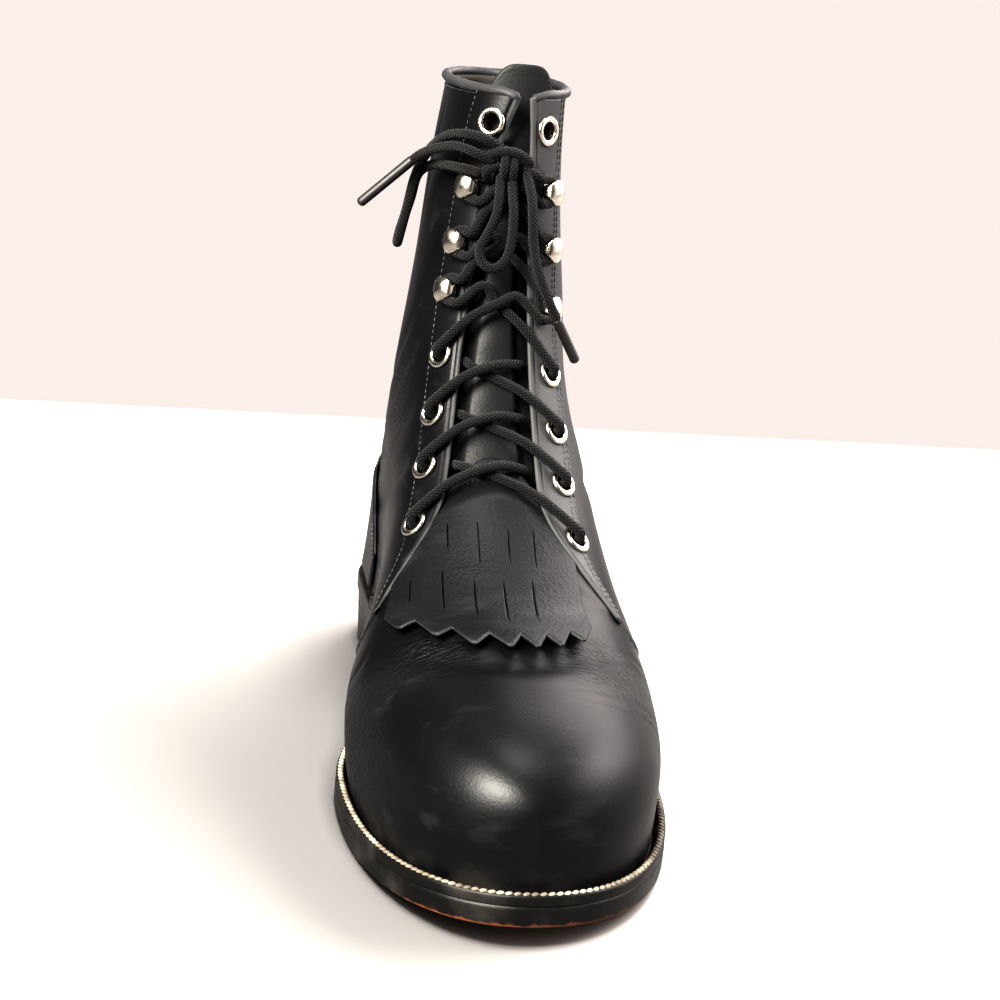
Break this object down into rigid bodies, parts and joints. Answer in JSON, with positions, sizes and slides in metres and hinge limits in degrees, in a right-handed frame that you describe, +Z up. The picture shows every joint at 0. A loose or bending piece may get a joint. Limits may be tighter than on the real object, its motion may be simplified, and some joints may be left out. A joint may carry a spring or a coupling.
{
  "type": "lace-up roper boot",
  "caption": "Ankle-high black leather lace-up boot with round toe, fringed kiltie, eyelets and speed hooks, stitched welt and low block heel, for the left foot.",
  "frame": {"origin": "on the floor under the middle of the sole's length and width", "axes": "+Z up, -Y towards the toe, +X towards the outer side of the foot"},
  "size_m": [0.1139, 0.2969, 0.2485],
  "materials": {
    "leather": "satin, worn",
    "rubber": "matte, scuffed",
    "insole": "matte",
    "nickel": "polished",
    "lace": "braided",
    "aglet": "satin"
  },
  "bodies": {
    "root": {"upper": "leather", "tongue": "leather", "kiltie": "leather", "eyestay_medial": "leather", "eyestay_lateral": "leather", "heel_counter": "leather", "collar_binding": "leather", "outsole": "rubber", "heel": "rubber", "welt": "rubber", "insole": "insole", "eyelet_medial_1": "nickel", "eyelet_medial_2": "nickel", "eyelet_medial_3": "nickel", "eyelet_medial_4": "nickel", "eyelet_medial_8": "nickel", "hook_medial_5": "nickel", "hook_medial_6": "nickel", "hook_medial_7": "nickel", "eyelet_lateral_1": "nickel", "eyelet_lateral_2": "nickel", "eyelet_lateral_3": "nickel", "eyelet_lateral_4": "nickel", "eyelet_lateral_8": "nickel", "hook_lateral_5": "nickel", "hook_lateral_6": "nickel", "hook_lateral_7": "nickel", "lace_crossing_1": "lace", "lace_crossing_2": "lace", "lace_crossing_3": "lace", "lace_crossing_4": "lace", "lace_crossing_5": "lace", "lace_crossing_6": "lace", "lace_knot": "lace", "lace_loop_medial": "lace", "lace_loop_lateral": "lace", "lace_end_medial": "lace", "lace_end_lateral": "lace", "aglet_medial": "aglet", "aglet_lateral": "aglet"}
  },
  "joints": []
}
